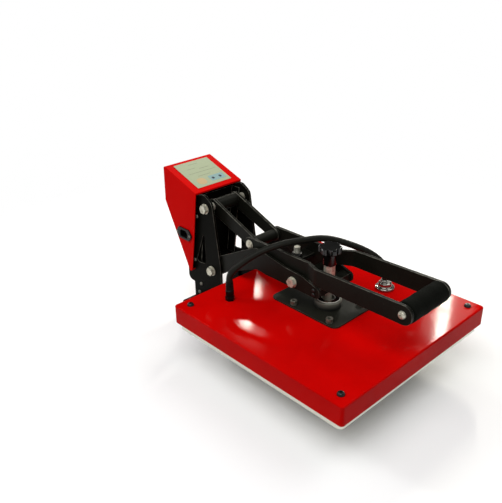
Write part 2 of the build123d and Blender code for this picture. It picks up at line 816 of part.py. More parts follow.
make_base()
make_feet()
make_lower_platen()
make_column()
make_column_brackets()
make_column_bolts()
make_back_panel()
make_control_box()
make_box_spacers()
make_inlet()
make_control_panel()
make_box_contents()
make_column_pivots()
make_arm()
make_nose()
make_handle_pivot()
make_handle_bars()
make_grip()
make_bridge()
make_handle_pivot_tube()
make_toggle_pins()
make_link()
make_heater()
make_platen_inside()
make_cover()
make_mount()
make_boss()
make_spindle()
make_knob()
make_hose()
make_fittings()

arm_length = hypot(arm_pivot[0] - handle_pivot[0], arm_pivot[1] - handle_pivot[1])
link_length = hypot(link_pivot[0] - toggle[0], link_pivot[1] - toggle[1])
lever_length = hypot(toggle[0] - handle_pivot[0], toggle[1] - handle_pivot[1])
print("arm", round(arm_length, 2), "link", round(link_length, 2), "lever", round(lever_length, 2))
print("link slope", round(degrees(atan2(link_pivot[1] - toggle[1], link_pivot[0] - toggle[0])), 2))
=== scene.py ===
from math import atan2, cos, hypot, pi, radians, sin

import bmesh
import bpy
from mathutils import Matrix, Vector


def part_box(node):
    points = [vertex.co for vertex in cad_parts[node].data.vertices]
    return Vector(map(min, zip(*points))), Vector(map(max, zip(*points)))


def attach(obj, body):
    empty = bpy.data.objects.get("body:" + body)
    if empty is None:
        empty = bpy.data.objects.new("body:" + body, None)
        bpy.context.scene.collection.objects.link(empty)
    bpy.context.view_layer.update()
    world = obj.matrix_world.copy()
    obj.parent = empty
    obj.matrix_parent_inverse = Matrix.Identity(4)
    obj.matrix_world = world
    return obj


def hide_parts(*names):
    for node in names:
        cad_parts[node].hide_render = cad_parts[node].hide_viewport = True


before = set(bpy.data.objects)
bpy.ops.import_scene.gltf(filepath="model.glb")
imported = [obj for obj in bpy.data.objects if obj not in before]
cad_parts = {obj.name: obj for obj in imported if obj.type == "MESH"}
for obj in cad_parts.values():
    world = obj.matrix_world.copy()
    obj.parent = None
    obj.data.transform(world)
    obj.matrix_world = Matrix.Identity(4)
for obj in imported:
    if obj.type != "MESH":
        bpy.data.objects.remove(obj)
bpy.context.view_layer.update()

# In metres: the height of the cover's top face, the pressure spindle's line and half the cover's width
cover_top = 0.127
spindle_y = -0.097
cover_half = 0.200

# The two ends of the heater conduit on the cover, in millimetres from the spindle's foot
gland_spot = (-113, 142)
fitting_spot = (127, -33)

upward = (0, 0, 1)
downward = (0, 0, -1)
backward = (0, 1, 0)
left_and_right = (-1, 1)


def over_cover(x, y, z=0):
    """A point given from the spindle's foot on the cover, in millimetres."""
    return Vector((x / 1000, y / 1000 + spindle_y, z / 1000 + cover_top))


def add_object(name, data):
    thing = bpy.data.objects.new(name, data)
    bpy.context.scene.collection.objects.link(thing)
    return thing


# Camera, at the photograph's viewpoint: angles in degrees, place in millimetres from the spindle's foot
camera_azimuth, camera_elevation, camera_roll = -42.586, 26.032, -0.997
camera_place = (-767.36, -630.09, 592.92)
focal_length_pixels = 626.46
frame_width_pixels = 502
sensor_width = 36.0


def aim_camera():
    azimuth, elevation, roll = radians(camera_azimuth), radians(camera_elevation), radians(camera_roll)
    back = Vector((sin(azimuth) * cos(elevation), -cos(azimuth) * cos(elevation), sin(elevation)))
    right = (-back).cross(Vector(upward)).normalized()
    up = right.cross(-back)
    tilted_right = right * cos(roll) + up * sin(roll)
    tilted_up = up * cos(roll) - right * sin(roll)
    data = bpy.data.cameras.new("camera")
    data.sensor_fit = "HORIZONTAL"
    data.sensor_width = sensor_width
    data.lens = sensor_width * focal_length_pixels / frame_width_pixels
    data.clip_start, data.clip_end = 0.02, 60
    camera = add_object("camera", data)
    turn = Matrix((tilted_right, tilted_up, back)).transposed().to_4x4()
    camera.matrix_world = Matrix.Translation(over_cover(*camera_place)) @ turn
    bpy.context.scene.camera = camera
    return camera


camera = aim_camera()


# Shader building
class Signal:
    """A value on its way through a tree of nodes; the operators add Math nodes."""

    def __init__(self, canvas, socket):
        self.canvas = canvas
        self.socket = socket

    def math(self, operation, first, second=None):
        return self.canvas.node("ShaderNodeMath", {"operation": operation}, {0: first, 1: second}).out()

    def __add__(self, other):
        return self.math("ADD", self, other)

    __radd__ = __add__

    def __sub__(self, other):
        return self.math("SUBTRACT", self, other)

    def __rsub__(self, other):
        return self.math("SUBTRACT", other, self)

    def __mul__(self, other):
        return self.math("MULTIPLY", self, other)

    __rmul__ = __mul__

    def __gt__(self, other):
        return self.math("GREATER_THAN", self, other)

    def __lt__(self, other):
        return self.math("LESS_THAN", self, other)

    def __abs__(self):
        return self.math("ABSOLUTE", self)

    def sine(self):
        return self.math("SINE", self)

    def larger(self, other):
        return self.math("MAXIMUM", self, other)

    def angle(self, other):
        """The angle round an axis, from the two distances across it."""
        return self.math("ARCTAN2", self, other)


class Step:
    """One node, whose outputs are read as signals."""

    def __init__(self, canvas, node):
        self.canvas = canvas
        self.node = node

    def out(self, name=0):
        return Signal(self.canvas, self.node.outputs[name])


class Canvas:
    """A tree of shader nodes that is written as expressions."""

    def __init__(self, tree):
        self.tree = tree

    def node(self, kind, settings=None, sockets=None):
        """Any node: its type, its settings, and the values or links of its sockets."""
        made = self.tree.nodes.new(kind)
        for setting, value in (settings or {}).items():
            setattr(made, setting, value)
        for socket, value in (sockets or {}).items():
            self.feed(made.inputs[socket], value)
        return Step(self, made)

    def feed(self, socket, value):
        if isinstance(value, Signal):
            self.tree.links.new(value.socket, socket)
        elif value is not None:
            socket.default_value = value

    def split(self, vector):
        parts = self.node("ShaderNodeSeparateXYZ", None, {"Vector": vector})
        return [parts.out(axis) for axis in "XYZ"]

    def window(self, signal, low, high, under=0.0, over=1.0):
        """One value under low and another over high, smooth between."""
        sockets = {"Value": signal, "From Min": low, "From Max": high, "To Min": under, "To Max": over}
        return self.node("ShaderNodeMapRange", {"interpolation_type": "SMOOTHSTEP"}, sockets).out()

    def mix(self, factor, first, second):
        """Between two values."""
        return self.node("ShaderNodeMix", {"data_type": "FLOAT"}, {0: factor, 2: first, 3: second}).out()

    def blend(self, factor, first, second):
        """Between two colours."""
        colours = [(*colour, 1) if isinstance(colour, tuple) else colour for colour in (first, second)]
        mixed = self.node("ShaderNodeMix", {"data_type": "RGBA"}, {0: factor, 6: colours[0], 7: colours[1]})
        return mixed.out(2)


class Paint(Canvas):
    """A finish built round one Principled shader."""

    def __init__(self, name, colour, metallic=0.0, **constants):
        self.material = bpy.data.materials.new(name)
        self.material.use_nodes = True
        self.material.diffuse_color = (*colour, 1)
        super().__init__(self.material.node_tree)
        self.set("Base Color", (*colour, 1))
        self.set("Metallic", metallic)
        for socket, value in constants.items():
            self.set(socket.replace("_", " "), value)

    def set(self, socket, value):
        self.feed(self.tree.nodes["Principled BSDF"].inputs[socket], value)

    def place(self, stretch=None):
        """The point on the object, which a pattern follows."""
        point = self.node("ShaderNodeTexCoord").out("Object")
        if stretch:
            point = self.node("ShaderNodeMapping", None, {"Vector": point, "Scale": stretch}).out()
        return point

    def noise(self, scale, detail=3.0, stretch=None):
        sockets = {"Vector": self.place(stretch), "Scale": scale, "Detail": detail, "Roughness": 0.55}
        return self.node("ShaderNodeTexNoise", None, sockets).out("Fac")

    def mottle(self, pattern, first, second, roughness, spread):
        """One pattern moves the colour between two and the roughness up by its spread."""
        self.set("Base Color", self.blend(pattern, first, second))
        self.set("Roughness", roughness + pattern * spread)

    def relief(self, height, depth, strength=1.0):
        """Raised and sunk by a height signal, the depth in metres."""
        sockets = {"Height": height, "Distance": depth, "Strength": strength}
        self.set("Normal", self.node("ShaderNodeBump", None, sockets).out("Normal"))


def lit(colour, light):
    """A colour made lighter or darker."""
    return tuple(channel * light for channel in colour)


# Finishes
def glossy_red():
    """Sprayed gloss enamel: slight orange peel and a few broad, faintly dulled places."""
    paint = Paint("red_gloss_enamel", (0.5, 0.001, 0.0008), Specular_IOR_Level=0.02)
    cloud = paint.noise(9, 4)
    shade = paint.window(cloud, 0.3, 0.75)
    dulled = paint.window(paint.noise(26, 5), 0.56, 0.76)
    paint.set("Base Color", paint.blend(shade, (0.54, 0.0012, 0.0008), (0.45, 0.001, 0.0007)))
    paint.set("Roughness", 0.07 + dulled * 0.08 + cloud * 0.03)
    paint.relief(paint.noise(240, 2), 0.00003, 0.4)
    return paint.material


def box_red():
    """The folded sheet of the control box, a little less glossy than the cover."""
    paint = Paint("red_semi_gloss_enamel", (0.56, 0.002, 0.001), Specular_IOR_Level=0.012)
    paint.mottle(paint.noise(14, 4), (0.62, 0.002, 0.001), (0.52, 0.0012, 0.001), 0.24, 0.14)
    paint.relief(paint.noise(650, 2), 0.00007, 0.5)
    return paint.material


def powder_black(name="black_powder_coat", light=1.0, shine=0.07, roughness=0.36):
    """Fine-textured black powder coat with rubbed, slightly olive high spots."""
    # light paints a copy of the coat lighter or darker: painted light and painted shade for where light falls
    # on it.
    paint = Paint(name, lit((0.006, 0.006, 0.0045), light), Specular_IOR_Level=shine)
    cloud = paint.noise(22, 5)
    rubbed = paint.window(paint.noise(75, 6, (1, 3, 1)), 0.6, 0.78)
    coat = paint.blend(cloud, lit((0.0040, 0.0042, 0.0030), light), lit((0.0085, 0.0085, 0.006), light))
    paint.set("Base Color", paint.blend(rubbed * 0.3, coat, lit((0.022, 0.022, 0.015), light)))
    paint.set("Roughness", roughness + cloud * 0.16 - rubbed * 0.08)
    paint.relief(paint.noise(2600, 2), 0.00009, 0.55)
    return paint.material


def paint_edge_highlight():
    """Painted highlight along the rounded cut edges of the powder coat: a lighter, patchy colour standing in
    for the light that the edges catch.
    """
    paint = Paint("painted_edge_highlight", (0.08, 0.078, 0.062), Specular_IOR_Level=0.2)
    patchy = paint.window(paint.noise(90, 5), 0.35, 0.65)
    paint.mottle(patchy, (0.03, 0.029, 0.023), (0.16, 0.155, 0.125), 0.36, 0.14)
    return paint.material


def zinc_plate(name="zinc_plated_steel", light=1.0):
    """Zinc plating, dulled unevenly, with a warm tint in places."""
    paint = Paint(name, lit((0.42, 0.41, 0.33), light), metallic=0.45)
    cloud = paint.noise(160, 4)
    bright, dull = lit((0.6, 0.585, 0.48), light), lit((0.32, 0.3, 0.23), light)
    paint.set("Base Color", paint.blend(paint.window(cloud, 0.35, 0.7), bright, dull))
    paint.set("Roughness", 0.2 + cloud * 0.2)
    paint.relief(paint.noise(900, 3, (1, 1, 6)), 0.00004, 0.6)
    return paint.material


def screw_thread(pitch):
    """Bright rolled thread, its turns along z round the spindle's line."""
    paint = Paint("threaded_steel", (0.5, 0.49, 0.41), metallic=0.3)
    x, y, z = paint.split(paint.place())
    wave = (z * (2 * pi / pitch) - (y - spindle_y).angle(x)).sine()
    # The thread's roots are painted dark and its crests light: painted shade in the grooves.
    crest_and_root_shade = paint.window(wave, -1, 0.4)
    paint.set("Base Color", paint.blend(crest_and_root_shade, (0.12, 0.118, 0.09), (0.56, 0.55, 0.46)))
    paint.set("Roughness", 0.3 + paint.noise(300) * 0.12)
    paint.relief(wave, 0.0003, 0.8)
    return paint.material


def chrome():
    """Bright chrome with the smears of handling."""
    paint = Paint("chrome_plate", (0.55, 0.54, 0.5), metallic=1.0)
    paint.mottle(paint.noise(70, 4), (0.6, 0.59, 0.55), (0.44, 0.43, 0.4), 0.07, 0.1)
    return paint.material


def nickel_plate():
    """Nickel plate gone a little cloudy, on the conduit's fitting."""
    paint = Paint("cloudy_nickel_plate", (0.34, 0.33, 0.3), metallic=0.96)
    paint.mottle(paint.noise(160, 4), (0.42, 0.4, 0.36), (0.22, 0.21, 0.185), 0.1, 0.14)
    return paint.material


def turned_steel():
    """Turned steel, painted lighter towards its top and darker at its foot, painted light and shade, with
    faint rings round the spindle's line.
    """
    paint = Paint("dark_turned_steel", (0.13, 0.135, 0.11), metallic=0.4)
    height = paint.split(paint.place())[2]
    low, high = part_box("swivel_boss")
    # bright: painted light towards the boss's top, painted shade at its foot by the plate.
    bright = paint.window(height, low.z + 0.002, high.z)
    rings = (height * 6500).sine()
    cloud = paint.noise(90, 4)
    steel = paint.blend(bright, (0.012, 0.0125, 0.01), (0.24, 0.245, 0.2))
    paint.set("Base Color", paint.blend(cloud * 0.35, steel, (0.03, 0.031, 0.026)))
    paint.set("Roughness", 0.34 + cloud * 0.18)
    paint.relief(rings * 0.5 + cloud, 0.00004, 0.5)
    return paint.material


def paint_rim_highlight():
    """Painted highlight on the chromed ring's rounded rim: a pale, nearly white colour standing in for the
    light that the rim catches.
    """
    paint = Paint("painted_rim_highlight", (0.9, 0.89, 0.8), metallic=0.2)
    paint.mottle(paint.noise(120, 4), (0.95, 0.94, 0.84), (0.78, 0.77, 0.68), 0.2, 0.16)
    return paint.material


def black_oxide():
    """Oil-blacked steel, worn lighter in specks."""
    paint = Paint("black_oxide_steel", (0.01, 0.01, 0.009), metallic=0.2)
    wear = paint.window(paint.noise(500, 4), 0.5, 0.8)
    paint.set("Base Color", paint.blend(wear * 0.5, (0.006, 0.006, 0.0055), (0.05, 0.049, 0.045)))
    paint.set("Roughness", 0.3 + wear * 0.15)
    return paint.material


def bare_aluminium():
    """Cast and milled plate: fine cutter lines across it."""
    paint = Paint("milled_aluminium", (0.66, 0.65, 0.57), metallic=1.0)
    lines = paint.noise(700, 3, (0.03, 1, 1))
    paint.mottle(lines, (0.72, 0.71, 0.62), (0.52, 0.51, 0.44), 0.28, 0.2)
    paint.relief(lines, 0.00003, 0.6)
    return paint.material


def brass():
    """Machined brass, tarnished in clouds."""
    paint = Paint("machined_brass", (0.62, 0.44, 0.17), metallic=1.0)
    paint.mottle(paint.noise(130, 4), (0.68, 0.5, 0.2), (0.42, 0.28, 0.1), 0.24, 0.2)
    return paint.material


def silicone():
    """Sponge silicone with an open skin."""
    paint = Paint("silicone_sponge", (0.3, 0.075, 0.035))
    cells = paint.noise(900, 3)
    paint.mottle(cells, (0.33, 0.085, 0.04), (0.22, 0.05, 0.025), 0.72, 0.16)
    paint.relief(cells, 0.0002, 0.6)
    return paint.material


def rubber():
    """Moulded rubber with dust in its grain."""
    paint = Paint("black_rubber", (0.012, 0.012, 0.011), Specular_IOR_Level=0.25)
    paint.mottle(paint.noise(260, 4), (0.01, 0.01, 0.01), (0.03, 0.029, 0.027), 0.52, 0.2)
    paint.relief(paint.noise(1400, 2), 0.00008, 0.5)
    return paint.material


def conduit_sleeve():
    """The heater conduit's smooth black sleeve, with faint wrap marks."""
    paint = Paint("conduit_sleeve", (0.009, 0.0095, 0.0072), Specular_IOR_Level=0.11)
    marks = paint.noise(210, 4, (1, 1, 0.5))
    paint.mottle(marks, (0.0058, 0.0062, 0.0046), (0.014, 0.014, 0.0105), 0.34, 0.18)
    paint.relief(marks, 0.0002, 0.4)
    return paint.material


def foam():
    """Closed-cell foam sleeve: fine pitted skin, no shine."""
    paint = Paint("black_foam", (0.004, 0.0044, 0.0034), Specular_IOR_Level=0.05)
    cells = paint.node("ShaderNodeTexVoronoi", None, {"Vector": paint.place(), "Scale": 900}).out("Distance")
    cloud = paint.noise(120, 4)
    paint.mottle(cloud, (0.0025, 0.0029, 0.0021), (0.0055, 0.0062, 0.0045), 0.8, 0.15)
    paint.relief(cells * 0.7 + cloud, 0.0005, 0.7)
    return paint.material


def black_plastic(name="black_moulded_plastic", shine=0.14, roughness=0.22):
    """Moulded plastic with a fine spark-eroded grain."""
    paint = Paint(name, (0.003, 0.003, 0.0027), Specular_IOR_Level=shine)
    paint.mottle(paint.noise(90, 4), (0.002, 0.002, 0.0018), (0.005, 0.005, 0.0045), roughness, 0.14)
    paint.relief(paint.noise(3200, 1), 0.00006, 0.5)
    return paint.material


def glass_wool():
    """Yellowish felted fibres, drawn out along one way."""
    paint = Paint("glass_wool", (0.66, 0.6, 0.42), Roughness=0.9)
    fibres = paint.noise(500, 6, (1, 9, 3))
    paint.set("Base Color", paint.blend(fibres, (0.74, 0.69, 0.5), (0.46, 0.4, 0.26)))
    paint.relief(fibres, 0.0012, 0.8)
    return paint.material


def circuit_green():
    """Lacquered board with a faint grid of tracks."""
    paint = Paint("circuit_board", (0.02, 0.14, 0.05))
    across, _, upright = paint.split(paint.place())
    track = paint.window((across * 1900).sine() * (upright * 1300).sine(), 0.55, 0.7)
    paint.set("Base Color", paint.blend(track * 0.7, (0.012, 0.1, 0.035), (0.06, 0.24, 0.1)))
    paint.set("Roughness", 0.32 + paint.noise(200) * 0.14)
    return paint.material


# The rules on the film: height, start and end, in fractions of its length and width
film_rules = ((0.88, 0.34, 0.62), (0.72, 0.2, 0.44), (0.66, 0.52, 0.8), (0.54, 0.14, 0.9), (0.4, 0.3, 0.66))
film_rule_half = 0.008


def printed_film():
    """The operator's film: pale, with thin grey rules, drawn in the film's own flat coordinates."""
    paint = Paint("printed_film", (0.4, 0.44, 0.29), Specular_IOR_Level=0.12)
    across, along, _ = paint.split(paint.node("ShaderNodeUVMap", {"uv_map": "film"}).out("UV"))
    rules = 0
    for height, start, end in film_rules:
        rules = rules + (abs(along - height) < film_rule_half) * (across > start) * (across < end)
    cloud = paint.noise(240, 5)
    ground = paint.blend(cloud, (0.385, 0.425, 0.275), (0.325, 0.38, 0.245))
    paint.set("Base Color", paint.blend(rules * 0.6, ground, (0.15, 0.16, 0.12)))
    paint.set("Roughness", 0.3 + cloud * 0.14)
    paint.relief(cloud, 0.00006, 0.4)
    return paint.material


def key_print(name, colour, darker):
    """A soft printed patch under the film."""
    paint = Paint(name, colour, Specular_IOR_Level=0.15)
    paint.mottle(paint.noise(330, 4), colour, darker, 0.28, 0.16)
    return paint.material


thread_pitch = 0.00175

finish = {
    "gloss_red": glossy_red(),
    "box_red": box_red(),
    "powder": powder_black(),
    # The frame's copy of the coat is painted darker, painted shade; the mounting plate's copy is painted
    # lighter, painted light.
    "frame_powder_painted_shade": powder_black("black_powder_coat_painted_shade", 0.45, 0.02),
    "plate_powder_painted_light": powder_black("black_powder_coat_painted_light", 2.0, 0.16, 0.3),
    "edge_highlight": paint_edge_highlight(),
    "nickel": nickel_plate(),
    "rim": paint_rim_highlight(),
    "zinc": zinc_plate(),
    "dull_zinc": zinc_plate("dulled_zinc", 0.28),
    "thread": screw_thread(thread_pitch),
    "chrome": chrome(),
    "oxide": black_oxide(),
    "turned": turned_steel(),
    "aluminium": bare_aluminium(),
    "brass": brass(),
    "silicone": silicone(),
    "rubber": rubber(),
    "sleeve": conduit_sleeve(),
    "foam": foam(),
    "plastic": black_plastic(),
    "knob_plastic": black_plastic("black_glossy_plastic", 0.4, 0.06),
    "wool": glass_wool(),
    "board": circuit_green(),
    "film": printed_film(),
    "orange": key_print("orange_key", (0.54, 0.38, 0.19), (0.46, 0.36, 0.2)),
    "blue": key_print("blue_key_field", (0.27, 0.4, 0.38), (0.2, 0.33, 0.34)),
    "dark_key": key_print("dark_key", (0.05, 0.06, 0.08), (0.03, 0.035, 0.05)),
}


# Piece making
def mesh_object(name, shape, material):
    mesh = bpy.data.meshes.new(name)
    shape.to_mesh(mesh)
    shape.free()
    mesh.materials.append(material)
    return add_object(name, mesh)


def settle(name, shape, coat, body, stands_for=(), sharp=32):
    """Turns a bmesh into a finished piece that rides on a body; edges over the sharp angle stay crisp."""
    piece = mesh_object(name, shape, finish[coat])
    piece.data.shade_smooth()
    piece.data.set_sharp_from_angle(angle=radians(sharp))
    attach(piece, body)
    if stands_for:
        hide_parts(*stands_for)
    return piece


def level_shading(piece):
    """Flat faces keep their own direction next to a rounded edge."""
    even = piece.modifiers.new("even", "WEIGHTED_NORMAL")
    even.keep_sharp = True
    even.weight = 60


# The angle past which an edge is rounded, in degrees
rounded_from = 38


def broken_edges(node, body, slot, coat, width, segments=2, rim=None):
    """A node's own shape, with its sharp edges rounded as cutting, tumbling and coating leave them.

    The rounded edges take the rim finish, a painted highlight, where there is one.
    """
    shape = bmesh.new()
    shape.from_mesh(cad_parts[node].data)
    bmesh.ops.remove_doubles(shape, verts=shape.verts, dist=0.000002)
    bmesh.ops.dissolve_limit(shape, angle_limit=radians(0.6), verts=shape.verts, edges=shape.edges)
    piece = settle(node + "_finished", shape, coat, body, (node,))
    if width:
        edge = piece.modifiers.new("edge", "BEVEL")
        edge.width = width
        edge.segments = segments
        edge.limit_method = "ANGLE"
        edge.angle_limit = radians(rounded_from)
        if rim:
            piece.data.materials.append(finish[rim])
            edge.material = 1
    level_shading(piece)
    return piece


def turned(shape, profile, place, axis, steps=48):
    """Spins a profile of (radius, height) round an axis through a place."""
    axis = Vector(axis)
    side = Vector((0, 1, 0)) if abs(axis.x) > 0.5 else Vector((1, 0, 0))
    outline = [shape.verts.new(Vector(place) + side * radius + axis * height) for radius, height in profile]
    edges = [shape.edges.new(pair) for pair in zip(outline, outline[1:])]
    bmesh.ops.spin(shape, geom=outline + edges, cent=place, axis=axis, angle=2 * pi, steps=steps,
                   use_merge=True)
    bmesh.ops.remove_doubles(shape, verts=shape.verts, dist=0.000001)
    bmesh.ops.recalc_face_normals(shape, faces=shape.faces)


def edges_of(made):
    """The edges of what an operator has made, each once and always in the same order."""
    return list(dict.fromkeys(edge for vert in made["verts"] for edge in vert.link_edges))


def round_off(shape, edges, width, segments=2):
    bmesh.ops.bevel(shape, geom=edges, offset=width, offset_type="OFFSET", segments=segments, profile=0.5,
                    affect="EDGES", material=-1)


def hexagon(shape, place, axis, flats, height, softened=0.0006):
    """A hexagonal head or nut that stands on a place, its edges a little rounded."""
    axis = Vector(axis)
    turn = axis.to_track_quat("Z", "Y").to_matrix().to_4x4()
    corner = flats / 3 ** 0.5
    made = bmesh.ops.create_cone(
        shape, cap_ends=True, segments=6, radius1=corner, radius2=corner, depth=height,
        matrix=Matrix.Translation(Vector(place) + axis * height / 2) @ turn,
    )
    round_off(shape, edges_of(made), softened)


def button_head(shape, place, axis, width, height):
    """A domed head with a round key recess."""
    radius = width / 2
    profile = [(0.0, 0.3), (0.3, 0.3), (0.36, 0.94), (0.5, 1.0), (0.74, 0.86), (0.92, 0.5), (1.0, 0.12),
               (1.0, 0.0), (0.0, 0.0)]
    turned(shape, [(across * radius, up * height) for across, up in profile], place, axis, steps=24)


# The parts that keep the CAD's own shape, by the body that they ride on
black_parts = {
    "frame": ("base_rail_left", "base_rail_right", "base_cross_members", "platen_supports",
              "column_plate_left", "column_plate_right", "column_brackets", "column_back_panel",
              "box_spacers"),
    "arm": ("arm_plate_left", "arm_plate_right", "arm_pivot_tube", "nose_block"),
    "handle": ("handle_bar_left", "handle_bar_right", "handle_bridge", "handle_pivot_tube", "grip_tube"),
    "link": ("link_plate_left", "link_plate_right", "link_pivot_tube", "toggle_tube"),
    "platen": ("mounting_plate",),
}
# The frame takes the coat painted darker, painted shade, and the mounting plate takes the coat painted
# lighter, painted light.
powder_on = {"frame": "frame_powder_painted_shade", "arm": "powder", "handle": "powder", "link": "powder",
             "platen": "plate_powder_painted_light"}

bright_parts = {
    "frame": ("column_bolts", "link_pivot_bolt", "arm_pivot_bolt", "pivot_spacers"),
    "arm": ("handle_pivot_bolt", "handle_pivot_spacers", "lock_nut"),
    "platen": ("mounting_screws", "cover_posts"),
}
zinc_on = {"frame": "zinc", "arm": "zinc", "platen": "dull_zinc"}

# Node, body, slot, finish, the width of its rounded edges in metres, their segments and the finish of the
# rim, a painted highlight
other_parts = (
    ("spindle", "spindle", "zinc_steel", "thread", 0.0004, 2, None),
    ("swivel_boss", "platen", "black_powder_coat", "turned", 0.0005, 2, None),
    ("boss_ring", "platen", "chrome", "chrome", 0.0007, 2, "rim"),
    ("cover", "platen", "red_paint_gloss", "gloss_red", 0, 0, None),
    ("control_box", "frame", "red_paint", "box_red", 0.0006, 2, None),
    ("lower_platen", "frame", "cast_aluminium", "aluminium", 0.001, 2, None),
    ("heating_plate", "platen", "cast_aluminium", "aluminium", 0.001, 2, None),
    ("heating_element", "platen", "cast_aluminium", "aluminium", 0.0006, 2, None),
    ("silicone_pad", "frame", "silicone_pad", "silicone", 0.0012, 3, None),
    ("rubber_feet", "frame", "black_rubber", "rubber", 0.001, 3, None),
    ("inlet_socket", "frame", "black_plastic", "plastic", 0.0005, 2, None),
    ("pressure_knob", "spindle", "black_plastic", "knob_plastic", 0.0008, 3, None),
    ("threaded_bush", "arm", "brass", "brass", 0.0004, 2, None),
    ("temperature_sensor", "platen", "brass", "brass", 0.0006, 2, None),
    ("controller_board", "frame", "circuit_board", "board", 0.0003, 1, None),
    ("insulation_blanket", "platen", "glass_wool", "wool", 0.002, 3, None),
)
powdered_edge = 0.0007
plated_edge = 0.0005
box_sheet = 0.0012


def dress_parts():
    for body, nodes in black_parts.items():
        for node in nodes:
            # The black parts' rounded edges take a painted highlight.
            broken_edges(node, body, "black_powder_coat", powder_on[body], powdered_edge, rim="edge_highlight")
    for body, nodes in bright_parts.items():
        for node in nodes:
            broken_edges(node, body, "zinc_steel", zinc_on[body], plated_edge)
    for part in other_parts:
        piece = broken_edges(*part)
        if part[0] == "control_box":
            paint_box_inside_shade(piece)


def paint_box_inside_shade(shell):
    """The box is painted black inside, painted shade for its hollow: every face of the shell that looks
    inward takes the powder coat.
    """
    shell.data.materials.append(finish["powder"])
    low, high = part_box("control_box")
    middle = (low + high) / 2
    for face in shell.data.polygons:
        inward = face.normal.dot(middle - face.center) > 0
        inside_wall = abs(face.center.x) < high.x - box_sheet and abs(face.normal.x) > 0.9
        if inward or inside_wall:
            face.material_index = 1


def make_stop_stud():
    """A bright threaded stud held by two blackened nuts, one each side of the bridge."""
    gap = 0.0001
    low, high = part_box("stop_stud")
    bridge_low, bridge_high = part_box("handle_bridge")
    middle_y = (low.y + high.y) / 2
    length = high.z - low.z
    stud, nuts = bmesh.new(), bmesh.new()
    profile = [(0, 0), (0.0054, 0), (0.006, 0.0006), (0.006, length - 0.0008), (0.0052, length), (0, length)]
    turned(stud, profile, Vector((0, middle_y, low.z)), upward, steps=40)
    settle("stop_stud_bright", stud, "thread", "handle", ("stop_stud",), sharp=30)
    for height, axis in ((bridge_high.z + gap, upward), (bridge_low.z - gap, downward)):
        hexagon(nuts, (0, middle_y, height), axis, flats=0.018, height=0.0068, softened=0.0009)
    settle("stop_stud_nuts", nuts, "oxide", "handle")


# The toggle pins' heads, in metres: the bars' outer face, and the flange that the hexagon stands on
bar_face = 0.039
flange_top = 0.0013
toggle_flange = [(0, -0.0058), (0.0039, -0.0058), (0.0039, 0.0), (0.0088, 0.0), (0.0092, 0.0004),
                 (0.009, 0.0009), (0.0072, 0.0014), (0.0, 0.0014)]


def make_toggle_heads():
    """Low flanged hexagon heads outside the handle bars, in the room between bar and arm."""
    low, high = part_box("toggle_bolts")
    middle = (low + high) / 2
    heads = bmesh.new()
    for side in left_and_right:
        place = Vector((side * bar_face, middle.y, middle.z))
        outward = Vector((side, 0, 0))
        turned(heads, toggle_flange, place, outward, steps=40)
        hexagon(heads, place + outward * flange_top, outward, flats=0.0135,
                height=high.x - bar_face - flange_top, softened=0.0005)
    settle("toggle_pin_heads", heads, "zinc", "handle", ("toggle_bolts",))


# Round-head screws that the plates only carry, their lines and heights in millimetres from the spindle's foot
column_screws = ((307.8, 101), (321.8, -2), (305.3, -54), (312.3, -76))
inlet_screws = ((322.5, 54.3), (362.5, 54.3))
nose_screws = ((-5, 44), (-5, 52.5))


def screws_on_face(shape, spots, face, side, width, height):
    """A screw at each spot of an upright face at the left or right."""
    for y, z in spots:
        spot = over_cover(0, y, z)
        button_head(shape, (face, spot.y, spot.z), (side, 0, 0), width, height)


def make_small_screws():
    bright, dark = bmesh.new(), bmesh.new()
    column_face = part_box("column_plate_right")[1].x
    arm_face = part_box("arm_plate_right")[1].x
    for side in left_and_right:
        screws_on_face(bright, column_screws, side * column_face, side, width=0.008, height=0.0027)
        screws_on_face(dark, nose_screws, side * arm_face, side, width=0.007, height=0.0024)
    inlet_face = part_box("inlet_socket")[0].x
    screws_on_face(bright, inlet_screws, inlet_face, -1, width=0.006, height=0.0018)
    settle("panel_and_inlet_screws", bright, "dull_zinc", "frame", sharp=40)
    settle("nose_block_screws", dark, "oxide", "arm", sharp=40)


# The box's back wall, in millimetres from the spindle's foot: louvres in two stacks of rows, and four screws
louvre_stack, louvre_rows, lowest_louvre, louvre_spacing = 25, 6, 132, 7.5
wall_screw_line, wall_screw_heights = 53, (126, 181)
louvre_width = 0.036


def on_back_wall(x, z):
    """The back wall leans forward by 2 mm in its 76 mm of height."""
    return over_cover(x, 403 - 2 * (z - 113) / 76, z)


def make_box_vents():
    """Pressed louvres, each a low lip over a dark strip, painted shade that stands for the slit, and the
    wall's screws.
    """
    lips, slit_shades, screws = bmesh.new(), bmesh.new(), bmesh.new()
    for side in left_and_right:
        for row in range(louvre_rows):
            spot = on_back_wall(side * louvre_stack, lowest_louvre + louvre_spacing * row)
            for shape, height, rise, proud in ((lips, 0.0024, 0.0, 0.0005), (slit_shades, 0.0014, -0.0018, 0.0002)):
                size = Matrix.Diagonal((louvre_width, proud * 2, height, 1))
                place = Matrix.Translation(spot + Vector((0, 0, rise)))
                made = bmesh.ops.create_cube(shape, size=1.0, matrix=place @ size)
                round_off(shape, edges_of(made), proud * 0.6)
        for z in wall_screw_heights:
            spot = on_back_wall(side * wall_screw_line, z)
            button_head(screws, spot, backward, width=0.006, height=0.0003)
    settle("box_louvre_lips", lips, "box_red", "frame")
    # The dark strips are painted shade in the slits under the lips.
    settle("box_louvre_slit_shades", slit_shades, "frame_powder_painted_shade", "frame")
    settle("box_wall_screws", screws, "dull_zinc", "frame", sharp=40)


